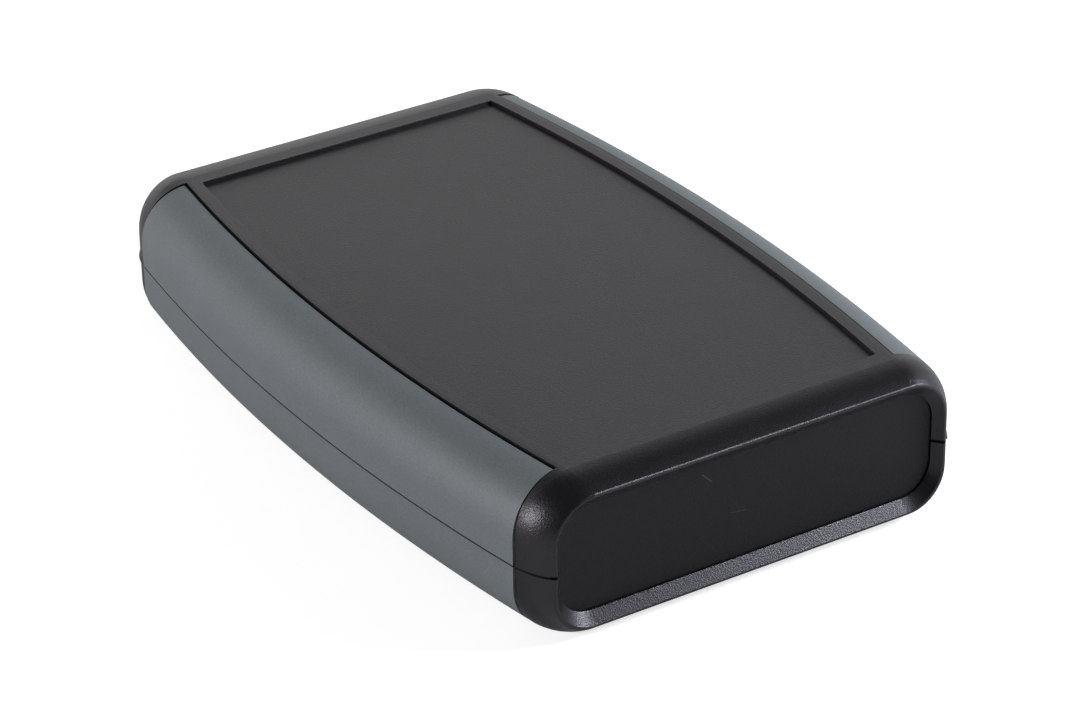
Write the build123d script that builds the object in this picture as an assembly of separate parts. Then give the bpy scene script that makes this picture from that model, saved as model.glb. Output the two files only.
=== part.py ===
from build123d import *
import os
from math import asin, cos, degrees, sin, sqrt

# Soft-sided hand-held instrument enclosure, closed.
# Millimetres. The origin is the middle of the underside, +Y runs along the case, +Z is up.

# Overall sizes
case_length = 117.0
case_width = 79.0
case_height = 24.0
split_height = 11.6
bow_radius = 368.7

# Outside form
top_edge_radius = 8.2
bottom_edge_radius = 7.6
end_roll_radius = 9.9
end_roll_length = 5.5
end_roll_stations = 4
end_inset = 0.25
parting_lip = 0.28
parting_lip_height = 0.9
parting_relief = 0.2
parting_relief_length = 6.5
rim_edge_radius = 0.45

# Walls
floor_thickness = 2.2
roof_thickness = 2.0
side_wall = 2.0

# Keypad field in the top
keypad_depth = 0.9
keypad_side_margin = 9.9
keypad_end_margin = 8.0
keypad_corner_radius = 0.4

# Soft grips
grip_thickness = 1.5
grip_sink = 0.25
grip_line = 7.8
grip_end_angle = 8.25
grip_groove_width = 0.25
grip_groove_depth = 0.5
grip_edge_chamfer = 0.2
grip_parting_gap = 0.12

# End panels and the mouths they close
panel_thickness = 1.6
panel_overlap = 1.1
panel_edge_clearance = 0.15
panel_front_play = 0.3
mouth_depth = 1.4
mouth_lip = 0.35
mouth_taper_side = 1.15
mouth_taper_flat = 1.67
mouth_corner_radius = 5.0
mouth_corner_growth = 1.1
channel_rib = 1.4

# Lap joint between the shells
tongue_thickness = 0.9
tongue_height = 1.4
tongue_clearance = 0.1
tongue_end_margin = 9.0

# Screws, posts and inserts
screw_seat_wall = 1.2
screw_end_margin = 12.5
post_diameter = 7.5
gusset_thickness = 1.4
screw_diameter = 3.0
screw_length = 10.0
screw_head_diameter = 5.6
screw_head_height = 2.2
screw_head_depth = 5.6
screw_hole_clearance = 0.4
screw_head_clearance = 0.8
cross_width = 0.7
cross_length = 3.0
cross_depth = 1.2
insert_diameter = 4.3
insert_length = 5.0
insert_groove = 0.25
thread_clearance = 0.05
insert_recess = 0.3

# Board standoffs
standoff_diameter = 5.6
standoff_bore = 2.2
standoff_height = 4.0
standoff_bore_depth = 3.2
standoff_pitch_x = 44.0
standoff_pitch_y = 60.0

# Worked out from the sizes above
half_length = case_length / 2
roll_start = half_length - end_roll_length
bow_centre = case_width / 2 - bow_radius
cavity_inset = grip_thickness + side_wall
ceiling_height = case_height - keypad_depth - roof_thickness
panel_front = half_length - mouth_depth - panel_front_play
panel_back = panel_front - panel_thickness
cavity_half_length = panel_back - channel_rib
mouth_plane = half_length - mouth_depth
bow_axis = Axis((bow_centre, 0, 0), (0, 0, 1))
overcut = 1.0


def half_width(y, inset):
    """Half width of the plan at station y, on the bow that lies inset from the grip surface."""
    return bow_centre + sqrt((bow_radius - inset) ** 2 - y**2)


def roll_drop(y):
    """How far the end roll has drawn the surface in at station y."""
    run = max(0.0, y - roll_start)
    return end_roll_radius - sqrt(end_roll_radius**2 - run**2)


def end_side(y):
    """Half width of the outside in the end roll, on an arc tangent to the bow just inside the grips."""
    slope = asin(roll_start / bow_radius)
    centre_x = half_width(roll_start, end_inset) - end_roll_radius * cos(slope)
    centre_y = roll_start - end_roll_radius * sin(slope)
    return centre_x + sqrt(end_roll_radius**2 - (y - centre_y) ** 2)


def bowed_outline(inset, half_span):
    """Plan face with straight ends and both long sides on the bow."""
    tip = half_width(half_span, inset)
    middle = half_width(0, inset)
    right_side = ThreePointArc((tip, -half_span), (middle, 0), (tip, half_span))
    far_end = Line((tip, half_span), (-tip, half_span))
    left_side = ThreePointArc((-tip, half_span), (-middle, 0), (-tip, -half_span))
    near_end = Line((-tip, -half_span), (tip, -half_span))
    return make_face([right_side, far_end, left_side, near_end])


def bowed_block(inset, half_span, z_low, z_high, top_radius, bottom_radius):
    """Bowed prism with rounded long edges."""
    block = extrude(Pos(0, 0, z_low) * bowed_outline(inset, half_span), z_high - z_low)
    block = fillet(block.edges().filter_by(GeomType.CIRCLE).group_by(Axis.Z)[-1], top_radius)
    return fillet(block.edges().filter_by(GeomType.CIRCLE).group_by(Axis.Z)[0], bottom_radius)


def end_section(y):
    """Cross section of the outside at station y in the end roll."""
    drop = roll_drop(y)
    side = end_side(y)
    top = case_height - drop
    upper = top_edge_radius - drop
    lower = bottom_edge_radius - drop
    outline = [
        Line((lower - side, drop), (side - lower, drop)),
        CenterArc((side - lower, drop + lower), lower, 270, 90),
        Line((side, drop + lower), (side, top - upper)),
        CenterArc((side - upper, top - upper), upper, 0, 90),
        Line((side - upper, top), (upper - side, top)),
        CenterArc((upper - side, top - upper), upper, 90, 90),
        Line((-side, top - upper), (-side, drop + lower)),
        CenterArc((lower - side, drop + lower), lower, 180, 90),
    ]
    return Plane.XZ.offset(-y) * make_face(outline)


def end_cap(root_face):
    """Far end of the outside, from the middle's end face to the rim, where all faces roll in."""
    step = end_roll_length / end_roll_stations
    stations = [roll_start + step * (index + 1) for index in range(end_roll_stations)]
    return loft([root_face] + [end_section(y) for y in stations])


def both_ends(solid):
    """The solid and its mirror image at the near end."""
    return solid + mirror(solid, about=Plane.XZ)


def both_sides(solid):
    """The solid and its mirror image on the left."""
    return solid + mirror(solid, about=Plane.YZ)


def envelope():
    """Outside form of the closed case, without the grips' pockets."""
    middle = bowed_block(end_inset, roll_start, 0, case_height, top_edge_radius, bottom_edge_radius)
    return middle + both_ends(end_cap(middle.faces().sort_by(Axis.Y)[-1]))


def mouth_outline(grow_side, grow_flat, grow_radius):
    """Rounded rectangle of the panel's mouth, grown at the sides and at top and bottom."""
    side = end_side(half_length) - mouth_lip - mouth_taper_side
    rise = case_height / 2 - roll_drop(half_length) - mouth_lip - mouth_taper_flat
    return RectangleRounded(2 * (side + grow_side), 2 * (rise + grow_flat), mouth_corner_radius + grow_radius)


def at_station(outline, y):
    """An end outline stood up at station y, centred on the case's height."""
    return Plane((0, y, case_height / 2), x_dir=(1, 0, 0), z_dir=(0, -1, 0)) * outline


def end_prism(outline, y_low, y_high):
    """An end outline carried along the case between two stations."""
    return extrude(at_station(outline, y_high), y_high - y_low)


def panel_outline(clearance):
    """Outline of an end panel, or of its channel when grown by the clearance."""
    grow = panel_overlap + clearance
    return mouth_outline(grow, grow, grow)


def hollow():
    """Everything that is open inside: the board bay, the panel channels and the flared mouths."""
    bay = bowed_block(
        cavity_inset,
        cavity_half_length,
        floor_thickness,
        ceiling_height,
        top_edge_radius - cavity_inset,
        bottom_edge_radius - cavity_inset,
    )
    throat = mouth_outline(0, 0, 0)
    passage = end_prism(throat, cavity_half_length - overcut, mouth_plane)
    channel = end_prism(panel_outline(panel_edge_clearance), panel_back, mouth_plane)
    flared = mouth_outline(mouth_taper_side, mouth_taper_flat, mouth_corner_growth)
    flare = loft([at_station(throat, mouth_plane), at_station(flared, half_length)], ruled=True)
    return bay + both_ends(passage + channel + flare)


def side_face(inset):
    """Right half of the cross section at mid length, drawn in from the grip surface by inset."""
    outer = half_width(0, inset)
    height = case_height - 2 * grip_sink - 2 * inset
    block = Pos(outer / 2, case_height / 2) * Rectangle(outer, height)
    upper_corner = block.vertices().sort_by_distance((case_width, case_height))[0]
    block = fillet(upper_corner, top_edge_radius - inset)
    lower_corner = block.vertices().sort_by_distance((case_width, 0))[0]
    return fillet(lower_corner, bottom_edge_radius - inset)


def layer_section(outer_inset, inner_inset, line, z_low, z_high):
    """Cross section of a layer between two insets, outboard of a line on the right side."""
    x_low = half_width(0, line)
    window = Pos((x_low + case_width) / 2, (z_low + z_high) / 2) * Rectangle(case_width - x_low, z_high - z_low)
    return (side_face(outer_inset) - side_face(inner_inset)) & window


def swept(section, end_angle):
    """A cross section of the right side swept round the bow's centre, as far each way."""
    return revolve(Plane.XZ * section, bow_axis, 2 * end_angle).rotate(bow_axis, -end_angle)


def grip(z_low, z_high, z_edge):
    """Soft layer on the right side, with a groove round its edge down to the pocket's wall."""
    edge_line = grip_line - grip_groove_width
    groove_angle = degrees(grip_groove_width / bow_radius)
    base = layer_section(grip_groove_depth, grip_thickness, grip_line, z_low, z_high)
    face = layer_section(0, grip_groove_depth, edge_line, z_low, z_high)
    edge = face.vertices().sort_by_distance((half_width(0, edge_line), z_edge))[0]
    face = chamfer(edge, grip_edge_chamfer)
    return swept(base, grip_end_angle) + swept(face, grip_end_angle - groove_angle)


def grip_pocket(z_low, z_high):
    """What both shells leave open on the right side for their grip."""
    section = layer_section(-overcut, grip_thickness, grip_line, z_low, z_high)
    return swept(section, grip_end_angle)


def screw_place():
    """Distance of the screws from both middle planes, so that their seats clear the grips."""
    y = half_length - screw_end_margin
    seat_radius = (screw_head_diameter + screw_head_clearance) / 2
    return half_width(y, grip_line) - screw_seat_wall - seat_radius, y


def corner_places():
    """Centres of the four screws, in plan."""
    x, y = screw_place()
    return GridLocations(2 * x, 2 * y, 2, 2)


def standoff_places():
    """Centres of the four board standoffs of either shell, in plan."""
    return GridLocations(standoff_pitch_x, standoff_pitch_y, 2, 2)


def upright(diameter, z_low, z_high):
    """Cylinder between two heights."""
    return Pos(0, 0, (z_low + z_high) / 2) * Cylinder(diameter / 2, z_high - z_low)


def placed(solids_at, solid):
    """Copies of a solid at each of the places."""
    return Part() + [place * solid for place in solids_at]


def gussets(z_low, z_high):
    """Webs that tie the screw posts to the side walls."""
    screw_x, screw_y = screw_place()
    wall_x = half_width(screw_y, cavity_inset) + side_wall / 2
    web = Box(wall_x - screw_x, gusset_thickness, z_high - z_low, align=(Align.MIN, Align.CENTER, Align.MIN))
    return both_sides(both_ends(Pos(screw_x, screw_y, z_low) * web))


def tongue(clearance, z_low, z_high):
    """Lap strips along both side walls, grown by the clearance."""
    inner = cavity_inset
    outer = cavity_inset - tongue_thickness - clearance
    half_span = half_length - tongue_end_margin + clearance
    strips = bowed_outline(outer, half_span) - bowed_outline(inner, half_span + overcut)
    return extrude(Pos(0, 0, z_low) * strips, z_high - z_low)


def lip_section(y):
    """Cross section of the parting lip at station y: a wedge let into the side."""
    side = end_side(y)
    root = side - mouth_lip / 2
    tip = (side + parting_lip, split_height)
    top = split_height + parting_lip_height
    return Plane.XZ.offset(-y) * make_face(Polyline((root, split_height), tip, (side, top), (root, top), close=True))


def parting_lips():
    """Fine lips that stand out along the lower edge of the upper shell at both ends."""
    step = (end_roll_length - rim_edge_radius) / end_roll_stations
    stations = [roll_start + step * index for index in range(end_roll_stations + 1)]
    return both_sides(both_ends(loft([lip_section(y) for y in stations])))


def keypad_field():
    """Sunk field in the top, with sides parallel to the bow."""
    outline = bowed_outline(keypad_side_margin, half_length - keypad_end_margin)
    outline = fillet(outline.vertices(), keypad_corner_radius)
    return extrude(Pos(0, 0, case_height - keypad_depth) * outline, keypad_depth + overcut)


def closed_case():
    """Both shells as one piece: hollow, open at the ends, with the outer edges of both rims rounded."""
    far_half = split(envelope() - hollow(), bisect_by=Plane.XZ, keep=Keep.BOTTOM)
    rim = far_half.faces().sort_by(Axis.Y)[-1]
    return both_ends(fillet(rim.outer_wire().edges(), rim_edge_radius))


def upper_shell(case):
    """Upper half with the keypad field, insert posts and board standoffs."""
    post = upright(post_diameter, split_height, ceiling_height + roof_thickness / 2)
    standoff = upright(standoff_diameter, ceiling_height - standoff_height, ceiling_height + roof_thickness / 2)
    shell = split(case, bisect_by=Plane.XY.offset(split_height), keep=Keep.TOP)
    shell += placed(corner_places(), post) + placed(standoff_places(), standoff)
    shell += gussets(split_height + tongue_height + tongue_clearance, ceiling_height) + parting_lips()
    insert_top = split_height + insert_recess + insert_length
    seat = upright(insert_diameter, split_height - overcut, insert_top)
    shell -= placed(corner_places(), seat)
    bore_floor = ceiling_height - standoff_height + standoff_bore_depth
    shell -= placed(standoff_places(), upright(standoff_bore, ceiling_height - standoff_height - overcut, bore_floor))
    shell -= both_sides(grip_pocket(split_height - overcut, case_height))
    shell -= tongue(tongue_clearance, split_height - overcut, split_height + tongue_height + tongue_clearance)
    return shell - keypad_field()


def lower_shell(case):
    """Lower half with the screw posts, board standoffs and the tongue of the lap joint."""
    post = upright(post_diameter, floor_thickness / 2, split_height)
    standoff = upright(standoff_diameter, floor_thickness / 2, floor_thickness + standoff_height)
    shell = split(case, bisect_by=Plane.XY.offset(split_height), keep=Keep.BOTTOM)
    shell += placed(corner_places(), post) + placed(standoff_places(), standoff)
    shell += gussets(floor_thickness, split_height) + tongue(0, split_height, split_height + tongue_height)
    head_seat = upright(screw_head_diameter + screw_head_clearance, -overcut, screw_head_depth)
    shank_hole = upright(screw_diameter + screw_hole_clearance, 0, split_height + overcut)
    shell -= placed(corner_places(), head_seat + shank_hole)
    bore_top = floor_thickness + standoff_height
    shell -= placed(standoff_places(), upright(standoff_bore, bore_top - standoff_bore_depth, bore_top + overcut))
    relief = Box(case_width, parting_relief_length, parting_relief, align=(Align.CENTER, Align.MAX, Align.MAX))
    shell -= both_ends(Pos(0, half_length, split_height) * relief)
    return shell - both_sides(grip_pocket(0, split_height + overcut))


def end_panel():
    """Far end panel, standing against the rib behind its channel."""
    return end_prism(panel_outline(0), panel_back, panel_front)


def cover_screw():
    """Pan head screw, pointing up, with a cross recess in its head."""
    shank = upright(screw_diameter, screw_head_depth, screw_head_depth + screw_length)
    shank = chamfer(shank.edges().sort_by(Axis.Z)[-1], screw_diameter / 8)
    head = upright(screw_head_diameter, screw_head_depth - screw_head_height, screw_head_depth)
    head = chamfer(head.edges().sort_by(Axis.Z)[0], screw_head_height / 3)
    arm = Box(cross_length, cross_width, cross_depth, align=(Align.CENTER, Align.CENTER, Align.MIN))
    recess = Pos(0, 0, screw_head_depth - screw_head_height) * (arm + Rot(0, 0, 90) * arm)
    return shank + head - recess


def threaded_insert():
    """Brass bush with a waist between its two knurled bands."""
    z_low = split_height + insert_recess
    bush = upright(insert_diameter, z_low, z_low + insert_length)
    middle = z_low + insert_length / 2
    waist = upright(insert_diameter, middle - insert_length / 10, middle + insert_length / 10)
    waist -= upright(insert_diameter - 2 * insert_groove, z_low, z_low + insert_length)
    bore = upright(screw_diameter + 2 * thread_clearance, z_low, z_low + insert_length)
    return bush - waist - bore


def build():
    """All sub-parts by name."""
    case = closed_case()
    upper_grip = grip(split_height, case_height, case_height)
    lower_grip = grip(0, split_height - grip_parting_gap, 0)
    panel = end_panel()
    parts = {
        "upper_shell": upper_shell(case),
        "lower_shell": lower_shell(case),
        "upper_right_grip": upper_grip,
        "upper_left_grip": mirror(upper_grip, about=Plane.YZ),
        "lower_right_grip": lower_grip,
        "lower_left_grip": mirror(lower_grip, about=Plane.YZ),
        "rear_end_panel": panel,
        "front_end_panel": mirror(panel, about=Plane.XZ),
    }
    for number, place in enumerate(corner_places(), start=1):
        parts[f"cover_screw_{number}"] = place * cover_screw()
        parts[f"threaded_insert_{number}"] = place * threaded_insert()
    return parts


os.makedirs("parts", exist_ok=True)
for name, solid in build().items():
    export_step(solid, f"parts/{name}.step")
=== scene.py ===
"""Looks of a soft-sided hand-held instrument enclosure.

Metres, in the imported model's own frame: the origin is the middle of the underside,
+Y runs along the case and +Z is up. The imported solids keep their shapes. This script
gives them their finishes, lays a thin floor in the keypad field, and adds the studio
and the camera.
"""

from __future__ import annotations

import logging
from dataclasses import dataclass, field
from enum import Enum
from math import cos, radians, sin
from typing import Any

import bpy
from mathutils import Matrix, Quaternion, Vector


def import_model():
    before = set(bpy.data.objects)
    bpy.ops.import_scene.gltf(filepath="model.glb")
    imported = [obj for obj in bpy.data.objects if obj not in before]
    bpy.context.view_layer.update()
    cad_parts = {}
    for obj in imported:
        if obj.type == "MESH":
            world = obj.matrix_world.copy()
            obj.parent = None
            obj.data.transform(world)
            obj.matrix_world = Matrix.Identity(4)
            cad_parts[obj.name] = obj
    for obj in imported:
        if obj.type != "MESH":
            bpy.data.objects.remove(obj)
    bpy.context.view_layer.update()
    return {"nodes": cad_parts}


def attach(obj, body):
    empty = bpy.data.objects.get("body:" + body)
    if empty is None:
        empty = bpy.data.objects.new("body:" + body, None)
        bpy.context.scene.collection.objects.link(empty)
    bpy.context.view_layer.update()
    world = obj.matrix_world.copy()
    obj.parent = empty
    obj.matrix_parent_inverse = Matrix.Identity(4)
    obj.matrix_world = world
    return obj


LOG = logging.getLogger("enclosure")

MILLIMETRE = 0.001
NOISE_ROUGHNESS = 0.55

Colour = tuple[float, float, float]
Span = tuple[float, float]
Angles = tuple[float, float]

BLACK: Colour = (0.0, 0.0, 0.0)
WHITE: Colour = (1.0, 1.0, 1.0)


class Slot(Enum):
    """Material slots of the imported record."""

    SHELL = "shell_plastic"
    PANEL = "panel_plastic"
    GRIP = "grip_rubber"
    SCREW = "screw_steel"
    INSERT = "insert_brass"


class Graph:
    """A node tree with short ways to add and join nodes."""

    def __init__(self, tree: bpy.types.NodeTree) -> None:
        """Clears the tree.

        Args:
            tree: The tree of a material or of the world.
        """
        self.tree = tree
        tree.nodes.clear()

    def add(self, kind: str, inputs: dict[Any, Any] | None = None, **settings: Any) -> bpy.types.Node:
        """Adds a node.

        Args:
            kind: The node's type name after "ShaderNode".
            inputs: Values or sockets for its inputs, by name or index.
            settings: Values for the node's own properties.

        Returns:
            The new node.
        """
        node = self.tree.nodes.new("ShaderNode" + kind)
        for name, value in settings.items():
            setattr(node, name, value)
        for name, value in (inputs or {}).items():
            if isinstance(value, bpy.types.NodeSocket):
                self.tree.links.new(value, node.inputs[name])
            else:
                node.inputs[name].default_value = value
        return node

    def math(
        self, operation: str, first: Any, second: Any = 0.0, clamp: bool = False
    ) -> bpy.types.NodeSocket:
        """Adds a math node, whose result stays between 0 and 1 if it is clamped."""
        node = self.add("Math", {0: first, 1: second}, operation=operation, use_clamp=clamp)
        return node.outputs[0]

    def line(self, source: bpy.types.NodeSocket, slope: float, start: float) -> bpy.types.NodeSocket:
        """Multiplies a value by a slope and adds a start."""
        return self.add("Math", {0: source, 1: slope, 2: start}, operation="MULTIPLY_ADD").outputs[0]

    def ramp(self, source: bpy.types.NodeSocket, span: Span) -> bpy.types.NodeSocket:
        """Turns a value into a mask that is 0 at the span's first end and 1 at its second."""
        inputs = {"Value": source, "From Min": span[0], "From Max": span[1]}
        return self.add("MapRange", inputs, interpolation_type="SMOOTHSTEP").outputs["Result"]

    def noise(self, place: bpy.types.NodeSocket, size: float, detail: float = 2.0) -> bpy.types.NodeSocket:
        """Adds noise from 0 to 1, with patches of a size in metres and layers of finer detail."""
        inputs = {"Vector": place, "Scale": 1.0 / size, "Detail": detail, "Roughness": NOISE_ROUGHNESS}
        return self.add("TexNoise", inputs).outputs["Fac"]

    def tint(self, colour: Colour, gain: bpy.types.NodeSocket) -> bpy.types.NodeSocket:
        """Multiplies a colour by a value."""
        return self.add("VectorMath", {0: colour, "Scale": gain}, operation="SCALE").outputs["Vector"]

    def mix(self, mask: bpy.types.NodeSocket, first: Any, second: Any) -> bpy.types.NodeSocket:
        """Mixes two colours.

        Args:
            mask: Socket of the share of the second.
            first: Colour or socket where the mask is 0.
            second: Colour or socket where the mask is 1.

        Returns:
            The mixed colour's socket.
        """
        node = self.add("Mix", data_type="RGBA")
        for name, value in (("Factor_Float", mask), ("A_Color", first), ("B_Color", second)):
            socket = next(s for s in node.inputs if s.identifier == name)
            if isinstance(value, bpy.types.NodeSocket):
                self.tree.links.new(value, socket)
            else:
                socket.default_value = (*value, 1.0)
        return next(s for s in node.outputs if s.identifier == "Result_Color")


@dataclass(frozen=True)
class Scratch:
    """A fine straight scratch on the front end panel, in metres across and up its face."""

    start: tuple[float, float]
    end: tuple[float, float]
    width: float
    strength: float


@dataclass(frozen=True)
class MouldedFinish:
    """Spark-eroded finish of a moulded surface.

    A span gives the values at which a mask is 0 and 1. A core is the share of a mark's
    width, from its middle, at which the mark is at full strength. Edges are found by how
    alike the plain and the rounded normals are, from 1 on a flat face downwards.
    """

    name: str
    colour: Colour
    roughness: float
    specular: float
    grain_size: float
    grain_depth: float
    fine_share: float = 0.65
    fine_detail: float = 3.0
    coarse_scale: float = 1.5
    coarse_detail: float = 1.0
    pit_span: Span = (0.35, 0.65)
    pit_shade: float = 0.5
    mottle: float = 0.02
    mottle_size: float = 6.0 * MILLIMETRE
    mottle_span: Span = (0.3, 0.7)
    speck_spacing: float = 7.0 * MILLIMETRE
    speck_radius: float = 0.09 * MILLIMETRE
    speck_core: float = 0.4
    speck_share: float = 0.25
    speck_colour: Colour = (0.22, 0.22, 0.22)
    edge_width: float = 0.22 * MILLIMETRE
    edge_samples: int = 4
    edge_span: Span = (0.995, 0.9)
    edge_polish: float = 0.12
    # Painted highlight: gain of the colour on the sharp edges.
    edge_gain: float = 1.5
    gloss_tint: Colour = (1.0, 0.92, 1.0)
    # joint_height to joint_shade: the line of painted shade along the joint between the halves.
    joint_height: float = 11.54 * MILLIMETRE
    joint_width: float = 0.24 * MILLIMETRE
    joint_core: float = 0.4
    joint_shade: float = 0.92
    scratch_core: float = 0.2
    scratches: tuple[Scratch, ...] = ()

    def build(self) -> bpy.types.Material:
        """Makes the material.

        Returns:
            The new material.
        """
        material = bpy.data.materials.new(self.name)
        material.use_nodes = True
        graph = Graph(material.node_tree)
        place = graph.add("TexCoord").outputs["Object"]
        grain = self.grain(graph, place)
        mottle = graph.ramp(graph.noise(place, self.mottle_size), self.mottle_span)
        patches = graph.line(mottle, 2.0 * self.mottle, 1.0 - self.mottle)
        gain = graph.math("MULTIPLY", patches, self.pits(graph, grain))
        worn_and_highlit = self.edges(graph)
        joint = self.joint(graph, place)
        # Painted highlight: the colour is made lighter on the sharp edges, standing in for the light caught
        # by their rounding.
        colour = graph.tint(self.colour, graph.math("MULTIPLY", gain, self.painted_edge_highlight(graph, worn_and_highlit)))
        # Painted shade: the joint's line is darkened towards black, standing in for the shadow in the gap
        # between the halves.
        colour = graph.mix(joint, colour, BLACK)
        colour = graph.mix(self.specks(graph, place), colour, self.speck_colour)
        roughness = self.polish(graph, mottle, worn_and_highlit)
        for scratch in self.scratches:
            colour = graph.mix(self.scratch_mask(graph, place, scratch), colour, self.speck_colour)
        relief = {"Height": grain, "Distance": self.grain_depth, "Normal": self.facing(graph, place)}
        shader = graph.add(
            "BsdfPrincipled",
            {
                "Base Color": colour,
                "Roughness": roughness,
                "Specular IOR Level": self.specular,
                # Painted shade: the joint's line also loses its gloss, so that no reflection shows in the
                # gap's shadow.
                "Specular Tint": graph.mix(joint, self.gloss_tint, BLACK),
                "Normal": graph.add("Bump", relief).outputs["Normal"],
            },
        )
        graph.add("OutputMaterial", {"Surface": shader.outputs[0]})
        return material

    def grain(self, graph: Graph, place: bpy.types.NodeSocket) -> bpy.types.NodeSocket:
        """Fine pits of the mould's surface, in two sizes.

        Args:
            graph: The material's tree.
            place: Socket of the place.

        Returns:
            The height's socket, from 0 to 1.
        """
        fine = graph.noise(place, self.grain_size, self.fine_detail)
        coarse = graph.noise(place, self.coarse_scale * self.grain_size, self.coarse_detail)
        fine_part = graph.math("MULTIPLY", fine, self.fine_share)
        return graph.math("ADD", fine_part, graph.math("MULTIPLY", coarse, 1.0 - self.fine_share))

    def pits(self, graph: Graph, grain: bpy.types.NodeSocket) -> bpy.types.NodeSocket:
        """Gain of the colour, lower in the grain's pits, which catch less light."""
        return graph.line(graph.ramp(grain, self.pit_span), self.pit_shade, 1.0 - self.pit_shade / 2.0)

    def facing(self, graph: Graph, place: bpy.types.NodeSocket) -> bpy.types.NodeSocket:
        """Normal that the grain is laid on, here the surface's own."""
        return graph.add("NewGeometry").outputs["Normal"]

    def joint(self, graph: Graph, place: bpy.types.NodeSocket) -> bpy.types.NodeSocket:
        """Mask of the painted shade along the joint between the halves, standing in for the shadow in the
        gap.

        Args:
            graph: The material's tree.
            place: Socket of the place.

        Returns:
            The mask's socket.
        """
        height = graph.add("SeparateXYZ", {0: place}).outputs["Z"]
        away = graph.math("ABSOLUTE", graph.math("SUBTRACT", height, self.joint_height))
        line = graph.ramp(away, (self.joint_width, self.joint_core * self.joint_width))
        return graph.math("MULTIPLY", line, self.joint_shade)

    def edges(self, graph: Graph) -> bpy.types.NodeSocket:
        """Mask of the sharp edges, where hands have rubbed the surface smoother and where a highlight is
        painted into the colour.

        Args:
            graph: The material's tree.

        Returns:
            The mask's socket.
        """
        rounded = graph.add("Bevel", {"Radius": self.edge_width}, samples=self.edge_samples)
        plain = graph.add("NewGeometry")
        normals = {0: rounded.outputs["Normal"], 1: plain.outputs["Normal"]}
        alike = graph.add("VectorMath", normals, operation="DOT_PRODUCT").outputs["Value"]
        return graph.ramp(alike, self.edge_span)

    def painted_edge_highlight(self, graph: Graph, worn_and_highlit: bpy.types.NodeSocket) -> bpy.types.NodeSocket:
        """Gain of the colour, above 1 on the sharp edges: a painted highlight."""
        return graph.line(worn_and_highlit, self.edge_gain - 1.0, 1.0)

    def polish(
        self, graph: Graph, mottle: bpy.types.NodeSocket, worn_and_highlit: bpy.types.NodeSocket
    ) -> bpy.types.NodeSocket:
        """Roughness, with smoother patches and smoother edges."""
        patches = graph.line(mottle, -self.mottle, self.roughness + self.mottle / 2.0)
        return graph.math("SUBTRACT", patches, graph.math("MULTIPLY", worn_and_highlit, self.edge_polish))

    def specks(self, graph: Graph, place: bpy.types.NodeSocket) -> bpy.types.NodeSocket:
        """Mask of the few grains of dust on the surface.

        Args:
            graph: The material's tree.
            place: Socket of the place.

        Returns:
            The mask's socket.
        """
        cells = graph.add("TexVoronoi", {"Vector": place, "Scale": 1.0 / self.speck_spacing})
        radius = self.speck_radius / self.speck_spacing
        near = graph.ramp(cells.outputs["Distance"], (radius, self.speck_core * radius))
        pick = graph.add("SeparateColor", {0: cells.outputs["Color"]}).outputs[0]
        chosen = graph.math("LESS_THAN", pick, self.speck_share)
        return graph.math("MULTIPLY", near, chosen)

    def scratch_mask(
        self, graph: Graph, place: bpy.types.NodeSocket, scratch: Scratch
    ) -> bpy.types.NodeSocket:
        """Mask of one scratch, a soft line between its ends.

        Args:
            graph: The material's tree.
            place: Socket of the place.
            scratch: The scratch.

        Returns:
            The mask's socket.
        """
        start = Vector((scratch.start[0], 0.0, scratch.start[1]))
        along = Vector((scratch.end[0], 0.0, scratch.end[1])) - start
        flat = graph.add("VectorMath", {0: place, 1: (1.0, 0.0, 1.0)}, operation="MULTIPLY")
        away = graph.add("VectorMath", {0: flat.outputs[0], 1: start}, operation="SUBTRACT").outputs[0]
        run = graph.add("VectorMath", {0: away, 1: along}, operation="DOT_PRODUCT").outputs["Value"]
        share = graph.math("DIVIDE", run, along.length_squared, clamp=True)
        foot = graph.add("VectorMath", {0: along, "Scale": share}, operation="SCALE").outputs[0]
        gap = graph.add("VectorMath", {0: away, 1: foot}, operation="DISTANCE").outputs["Value"]
        line = graph.ramp(gap, (scratch.width, self.scratch_core * scratch.width))
        in_front = graph.math("LESS_THAN", graph.add("SeparateXYZ", {0: place}).outputs["Y"], 0.0)
        return graph.math("MULTIPLY", graph.math("MULTIPLY", line, in_front), scratch.strength)


@dataclass(frozen=True)
class ShellFinish(MouldedFinish):
    """Finish of the shells, with the fine lip over the joint blended into the side.

    The lip is what lies above the joint and below lip_top, further along Y than lip_start
    from the middle, and whose normal's Z is less than lip_tilt, up or down.
    """

    lip_start: float = 52.0 * MILLIMETRE
    lip_top: float = 12.6 * MILLIMETRE
    lip_tilt: float = 0.5

    def facing(self, graph: Graph, place: bpy.types.NodeSocket) -> bpy.types.NodeSocket:
        """Normal that the grain is laid on, upright on the lip.

        Args:
            graph: The material's tree.
            place: Socket of the place.

        Returns:
            The normal's socket.
        """
        normal = graph.add("NewGeometry").outputs["Normal"]
        spot = graph.add("SeparateXYZ", {0: place})
        tilt = graph.math("ABSOLUTE", graph.add("SeparateXYZ", {0: normal}).outputs["Z"])
        near_end = graph.math("GREATER_THAN", graph.math("ABSOLUTE", spot.outputs["Y"]), self.lip_start)
        above = graph.math("GREATER_THAN", spot.outputs["Z"], self.joint_height)
        below = graph.math("LESS_THAN", spot.outputs["Z"], self.lip_top)
        steep = graph.math("LESS_THAN", tilt, self.lip_tilt)
        band = graph.math("MULTIPLY", above, below)
        lip = graph.math("MULTIPLY", graph.math("MULTIPLY", near_end, band), steep)
        upright = graph.add("VectorMath", {0: normal, 1: (1.0, 1.0, 0.0)}, operation="MULTIPLY").outputs[0]
        return graph.mix(lip, normal, upright)


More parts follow.
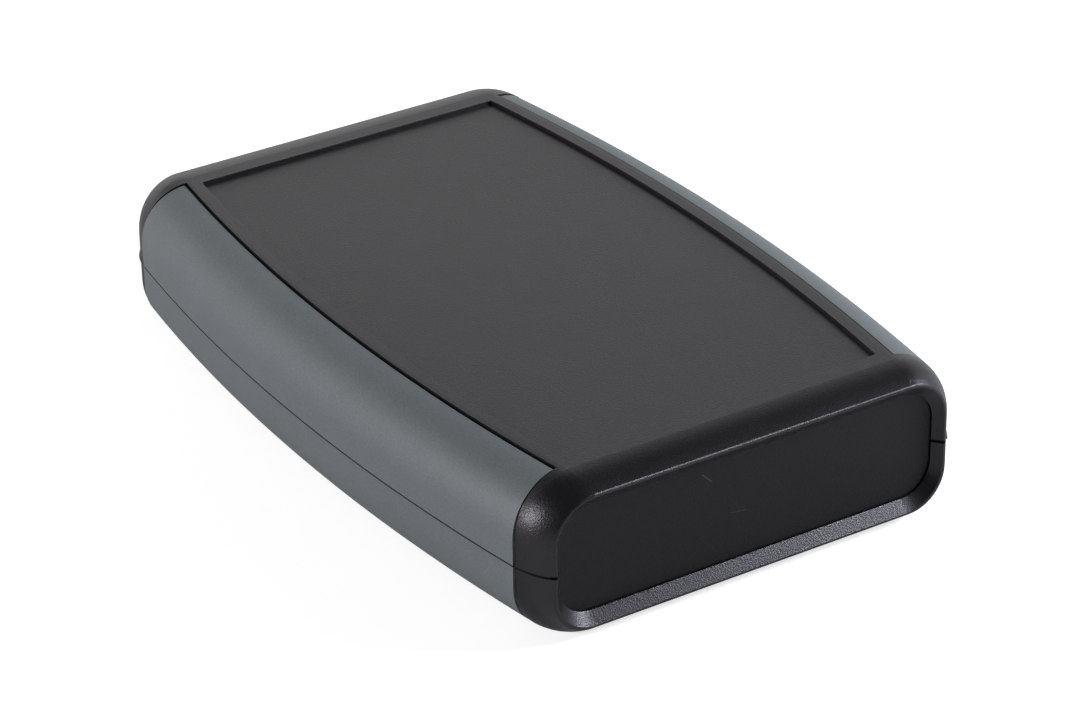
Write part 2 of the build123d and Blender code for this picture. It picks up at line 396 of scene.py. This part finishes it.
@dataclass(frozen=True)
class RubberFinish(MouldedFinish):
    """Finish of the soft grips: pits that are shaded less, edges that are hardly polished, a weaker painted
    edge highlight and a fainter painted shade along the joint.
    """

    pit_shade: float = 0.22
    edge_polish: float = 0.03
    # Weaker painted highlight on the grips' edges.
    edge_gain: float = 1.3
    gloss_tint: Colour = WHITE
    # A narrower, fainter painted shade along the grips' joint.
    joint_width: float = 0.2 * MILLIMETRE
    joint_shade: float = 0.75


@dataclass(frozen=True)
class MetalFinish:
    """Finish of a small turned metal piece: fine rings round Z, and dull patches."""

    name: str
    colour: Colour
    roughness: float
    line_size: float = 0.05 * MILLIMETRE
    line_depth: float = 0.004 * MILLIMETRE
    line_squeeze: float = 0.1
    patch_size: float = 1.5 * MILLIMETRE
    patch_span: Span = (0.35, 0.75)
    patch_roughness: float = 0.15
    tarnish: Colour = (0.25, 0.25, 0.25)
    tarnish_share: float = 0.35

    def build(self) -> bpy.types.Material:
        """Makes the material.

        Returns:
            The new material.
        """
        material = bpy.data.materials.new(self.name)
        material.use_nodes = True
        graph = Graph(material.node_tree)
        place = graph.add("TexCoord").outputs["Object"]
        squeeze = (self.line_squeeze, self.line_squeeze, 1.0)
        squeezed = graph.add("Mapping", {"Vector": place, "Scale": squeeze})
        lines = graph.noise(squeezed.outputs[0], self.line_size)
        patches = graph.ramp(graph.noise(place, self.patch_size), self.patch_span)
        tarnished = graph.math("MULTIPLY", patches, self.tarnish_share)
        colour = graph.mix(tarnished, self.colour, self.tarnish)
        roughness = graph.line(patches, self.patch_roughness, self.roughness)
        bump = graph.add("Bump", {"Height": lines, "Distance": self.line_depth}).outputs["Normal"]
        shader = graph.add(
            "BsdfPrincipled",
            {"Base Color": colour, "Metallic": 1.0, "Roughness": roughness, "Normal": bump},
        )
        graph.add("OutputMaterial", {"Surface": shader.outputs[0]})
        return material


@dataclass
class KeypadFloor:
    """Floor of the keypad field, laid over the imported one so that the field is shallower.

    It is cut from a block that is wider by spare_width than the floor, with two drums whose
    walls are the bows of its long sides. The limits say how far off an edge may be that
    still counts as upright, or as lying at an end.
    """

    half_length: float = 50.52 * MILLIMETRE
    bow_radius: float = 358.82 * MILLIMETRE
    bow_centre: float = 329.2 * MILLIMETRE
    top: float = 23.45 * MILLIMETRE
    bottom: float = 23.05 * MILLIMETRE
    corner_radius: float = 0.4 * MILLIMETRE
    corner_steps: int = 4
    spare_width: float = 4.0 * MILLIMETRE
    drum_depth: float = 10.0 * MILLIMETRE
    drum_sides: int = 720
    upright_limit: float = 1e-7
    end_limit: float = 1e-6

    def build(self, finish: bpy.types.Material) -> bpy.types.Object:
        """Makes the floor from a block cut to the bow on both sides.

        Args:
            finish: The shells' material.

        Returns:
            The floor's object.
        """
        width = 2.0 * (self.bow_radius - self.bow_centre) + self.spare_width
        floor = self.block("keypad_floor", width)
        for side in (-1.0, 1.0):
            self.cut_to_bow(floor, side)
        self.round_corners(floor)
        floor.data.materials.append(finish)
        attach(floor, "root")
        LOG.info("built %s with %d faces", floor.name, len(floor.data.polygons))
        return floor

    def block(self, name: str, width: float) -> bpy.types.Object:
        """Adds a flat block with its place in its mesh.

        Args:
            name: The object's name.
            width: The block's width.

        Returns:
            The block's object.
        """
        bpy.ops.object.select_all(action="DESELECT")
        middle = (self.top + self.bottom) / 2.0
        size = (width, 2.0 * self.half_length, self.top - self.bottom)
        bpy.ops.mesh.primitive_cube_add(size=1.0, location=(0.0, 0.0, middle), scale=size)
        bpy.ops.object.transform_apply(location=True, rotation=True, scale=True)
        block = bpy.context.active_object
        block.name = name
        return block

    def cut_to_bow(self, floor: bpy.types.Object, side: float) -> None:
        """Keeps what lies inside a wide cylinder whose wall is the bow on one side.

        Args:
            floor: The floor's object.
            side: 1 for the right, -1 for the left.
        """
        bpy.ops.object.select_all(action="DESELECT")
        place = (-side * self.bow_centre, 0.0, self.top)
        bpy.ops.mesh.primitive_cylinder_add(
            vertices=self.drum_sides, radius=self.bow_radius, depth=self.drum_depth, location=place
        )
        drum = bpy.context.active_object
        cut = floor.modifiers.new("bow", "BOOLEAN")
        cut.operation = "INTERSECT"
        cut.object = drum
        bpy.context.view_layer.objects.active = floor
        bpy.ops.object.modifier_apply(modifier="bow")
        bpy.data.objects.remove(drum)

    def round_corners(self, floor: bpy.types.Object) -> None:
        """Rounds the four upright corners.

        Args:
            floor: The floor's object.
        """
        bpy.ops.object.select_all(action="DESELECT")
        floor.select_set(True)
        bpy.context.view_layer.objects.active = floor
        bpy.ops.object.mode_set(mode="EDIT")
        bpy.ops.mesh.select_mode(type="EDGE")
        bpy.ops.mesh.select_all(action="DESELECT")
        bpy.ops.object.mode_set(mode="OBJECT")
        for edge in floor.data.edges:
            ends = [floor.data.vertices[index].co for index in edge.vertices]
            upright = (ends[0] - ends[1]).xy.length < self.upright_limit
            edge.select = upright and abs(abs(ends[0].y) - self.half_length) < self.end_limit
        bpy.ops.object.mode_set(mode="EDIT")
        bpy.ops.mesh.bevel(offset=self.corner_radius, segments=self.corner_steps)
        bpy.ops.object.mode_set(mode="OBJECT")


@dataclass
class Enclosure:
    """The case: shells, soft grips, end panels, hidden fasteners and the keypad field's floor."""

    nodes: dict[str, bpy.types.Object]
    shell: ShellFinish = ShellFinish(
        name="spark_eroded_abs",
        colour=(0.0095, 0.0086, 0.0096),
        roughness=0.32,
        specular=0.5,
        grain_size=0.2 * MILLIMETRE,
        grain_depth=0.06 * MILLIMETRE,
        joint_width=0.34 * MILLIMETRE,
    )
    panel: MouldedFinish = MouldedFinish(
        name="spark_eroded_panel",
        colour=(0.0095, 0.0086, 0.0096),
        roughness=0.42,
        specular=0.25,
        grain_size=0.2 * MILLIMETRE,
        grain_depth=0.06 * MILLIMETRE,
        joint_shade=0.0,
        scratches=(
            Scratch(start=(-0.0078, 0.0186), end=(-0.0062, 0.0170), width=0.12 * MILLIMETRE, strength=0.22),
            Scratch(start=(-0.0030, 0.0110), end=(-0.0004, 0.0107), width=0.10 * MILLIMETRE, strength=0.12),
        ),
    )
    rubber: RubberFinish = RubberFinish(
        name="soft_grip_rubber",
        colour=(0.155, 0.167, 0.176),
        roughness=0.5,
        specular=0.5,
        grain_size=0.2 * MILLIMETRE,
        grain_depth=0.05 * MILLIMETRE,
        speck_colour=(0.3, 0.3, 0.3),
        speck_share=0.1,
    )
    keypad_floor: KeypadFloor = field(default_factory=KeypadFloor)
    steel: MetalFinish = MetalFinish(name="stainless_steel", colour=(0.62, 0.63, 0.65), roughness=0.32)
    brass: MetalFinish = MetalFinish(
        name="turned_brass", colour=(0.72, 0.53, 0.25), roughness=0.35, tarnish=(0.35, 0.24, 0.1)
    )

    def dress(self) -> None:
        """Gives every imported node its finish."""
        finishes = {
            Slot.SHELL: self.shell.build(),
            Slot.PANEL: self.panel.build(),
            Slot.GRIP: self.rubber.build(),
            Slot.SCREW: self.steel.build(),
            Slot.INSERT: self.brass.build(),
        }
        for name, node in sorted(self.nodes.items()):
            slot = self.slot_of(name)
            for holder in node.material_slots:
                holder.material = finishes[slot]
            LOG.info("dressed %s as %s", name, slot.value)
        self.keypad_floor.build(finishes[Slot.SHELL])

    def slot_of(self, name: str) -> Slot:
        """Material slot of a node.

        Args:
            name: The node's name.

        Returns:
            The slot.
        """
        if name.endswith("_shell"):
            return Slot.SHELL
        if name.endswith("_panel"):
            return Slot.PANEL
        if name.endswith("_grip"):
            return Slot.GRIP
        if name.startswith("cover_screw"):
            return Slot.SCREW
        return Slot.INSERT


@dataclass
class Lamp:
    """A soft box that faces the case."""

    name: str
    azimuth: float
    elevation: float
    distance: float
    width: float
    height: float
    power: float
    colour: Colour = WHITE
    aim: tuple[float, float, float] = (0.0, 0.0, 0.012)

    def build(self) -> bpy.types.Object:
        """Makes the lamp.

        Returns:
            The lamp's object.
        """
        data = bpy.data.lights.new(self.name, "AREA")
        data.shape = "RECTANGLE"
        data.size = self.width
        data.size_y = self.height
        data.energy = self.power
        data.color = self.colour
        lamp = bpy.data.objects.new(self.name, data)
        bpy.context.scene.collection.objects.link(lamp)
        away = direction(self.azimuth, self.elevation)
        lamp.location = Vector(self.aim) + away * self.distance
        lamp.rotation_mode = "QUATERNION"
        lamp.rotation_quaternion = away.to_track_quat("Z", "Y")
        return lamp


def direction(azimuth: float, elevation: float) -> Vector:
    """Direction from the case.

    Args:
        azimuth: Degrees round from -Y towards +X.
        elevation: Degrees above the floor.

    Returns:
        A unit vector.
    """
    turn = radians(azimuth)
    rise = radians(elevation)
    return Vector((sin(turn) * cos(rise), -cos(turn) * cos(rise), sin(rise)))


@dataclass
class Studio:
    """Pale floor, two soft boxes and a pale surround that is dim overhead and behind the camera.

    The surround's light is dim overhead. Low down it gains glow, except towards shade_from,
    and it gains back_glow towards glow_from. Both are given by azimuth and elevation, in
    degrees. The spans give where each share is 0 and 1.
    """

    floor_size: float = 6.0
    floor_drop: float = 0.1 * MILLIMETRE
    floor_colour: Colour = (0.87, 0.85, 0.84)
    floor_lift: float = 0.72
    patch_size: float = 0.3
    patch_span: Span = (0.2, 0.8)
    patch_shade: float = 0.985
    dim: float = 0.05
    glow: float = 0.58
    back_glow: float = 0.47
    low_span: Span = (0.85, 0.2)
    shade_from: Angles = (-46.0, 10.0)
    shade_span: Span = (0.75, 0.1)
    glow_from: Angles = (178.0, 10.0)
    glow_span: Span = (0.3, 0.9)
    lamps: list[Lamp] = field(
        default_factory=lambda: [
            Lamp(
                name="key_box",
                azimuth=58.0,
                elevation=30.0,
                distance=0.5,
                width=0.2,
                height=0.14,
                power=2.2,
                colour=(0.9, 1.0, 1.06),
            ),
            Lamp(
                name="left_box",
                azimuth=-101.0,
                elevation=16.0,
                distance=0.9,
                width=0.25,
                height=0.25,
                power=4.3,
                colour=(0.96, 1.0, 1.03),
            ),
        ]
    )

    def build(self) -> None:
        """Makes the floor, the lamps and the world."""
        self.build_floor()
        for lamp in self.lamps:
            lamp.build()
        self.build_world()

    def build_floor(self) -> bpy.types.Object:
        """Makes the floor, a hair under the case so that the two faces don't fight.

        Returns:
            The floor's object.
        """
        bpy.ops.object.select_all(action="DESELECT")
        bpy.ops.mesh.primitive_plane_add(size=self.floor_size, location=(0.0, 0.0, -self.floor_drop))
        floor = bpy.context.active_object
        floor.name = "studio_floor"
        material = bpy.data.materials.new("pale_floor")
        material.use_nodes = True
        graph = Graph(material.node_tree)
        place = graph.add("TexCoord").outputs["Object"]
        patches = graph.ramp(graph.noise(place, self.patch_size), self.patch_span)
        darker = tuple(self.patch_shade * part for part in self.floor_colour)
        pale = graph.mix(patches, self.floor_colour, darker)
        matte = graph.add("BsdfDiffuse", {"Color": pale})
        seen = graph.add("LightPath").outputs["Is Camera Ray"]
        strength = graph.math("MULTIPLY", seen, self.floor_lift)
        lift = graph.add("Emission", {"Strength": strength})
        both = graph.add("AddShader", {0: matte.outputs[0], 1: lift.outputs[0]})
        graph.add("OutputMaterial", {"Surface": both.outputs[0]})
        floor.data.materials.append(material)
        return floor

    def build_world(self) -> None:
        """Makes the surround: white to the camera, and for light pale low down and at the back."""
        world = bpy.data.worlds.new("studio_surround")
        bpy.context.scene.world = world
        world.use_nodes = True
        graph = Graph(world.node_tree)
        way = graph.add("TexCoord").outputs["Generated"]
        height = graph.add("SeparateXYZ", {0: way}).outputs["Z"]
        low = graph.ramp(height, self.low_span)
        lit = self.side_mask(graph, way, self.shade_from, self.shade_span)
        behind = self.side_mask(graph, way, self.glow_from, self.glow_span)
        pale = graph.math("MULTIPLY", lit, self.glow)
        paler = graph.math("ADD", pale, graph.math("MULTIPLY", behind, self.back_glow))
        level = graph.math("ADD", graph.math("MULTIPLY", low, paler), self.dim)
        seen = graph.add("LightPath").outputs["Is Camera Ray"]
        strength = graph.math("MAXIMUM", level, seen)
        sky = graph.add("Background", {"Color": (*WHITE, 1.0), "Strength": strength})
        graph.add("OutputWorld", {"Surface": sky.outputs[0]})

    def side_mask(
        self, graph: Graph, way: bpy.types.NodeSocket, side: Angles, span: Span
    ) -> bpy.types.NodeSocket:
        """Mask by how near each direction is to a side, given by its azimuth and elevation."""
        near = graph.add("VectorMath", {0: way, 1: direction(*side)}, operation="DOT_PRODUCT")
        return graph.ramp(near.outputs["Value"], span)


@dataclass
class ViewPoint:
    """The camera, set by its angles round the target, in degrees, and a lens in millimetres."""

    azimuth: float = -32.384
    elevation: float = 28.777
    roll: float = -0.823
    distance: float = 0.58822
    target: tuple[float, float, float] = (-0.00207, -0.00716, 0.012)
    lens: float = 134.36
    sensor: float = 36.0
    clip: Span = (0.01, 20.0)

    def build(self) -> bpy.types.Object:
        """Makes the camera and sets it as the scene's.

        Returns:
            The camera's object.
        """
        data = bpy.data.cameras.new("main_camera")
        data.lens = self.lens
        data.sensor_fit = "HORIZONTAL"
        data.sensor_width = self.sensor
        data.clip_start, data.clip_end = self.clip
        camera = bpy.data.objects.new("main_camera", data)
        bpy.context.scene.collection.objects.link(camera)
        away = direction(self.azimuth, self.elevation)
        camera.location = Vector(self.target) + away * self.distance
        camera.rotation_mode = "QUATERNION"
        turn = Quaternion((0.0, 0.0, 1.0), radians(self.roll))
        camera.rotation_quaternion = away.to_track_quat("Z", "Y") @ turn
        bpy.context.scene.camera = camera
        return camera


def main() -> None:
    """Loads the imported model, dresses it and sets up the studio."""
    logging.basicConfig(level=logging.INFO, format="%(message)s")
    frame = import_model()
    bpy.context.scene.view_settings.view_transform = "Standard"
    ViewPoint().build()
    LOG.info("camera placed")
    Enclosure(frame["nodes"]).dress()
    Studio().build()
    LOG.info("studio built")


if __name__ == "__main__":
    main()
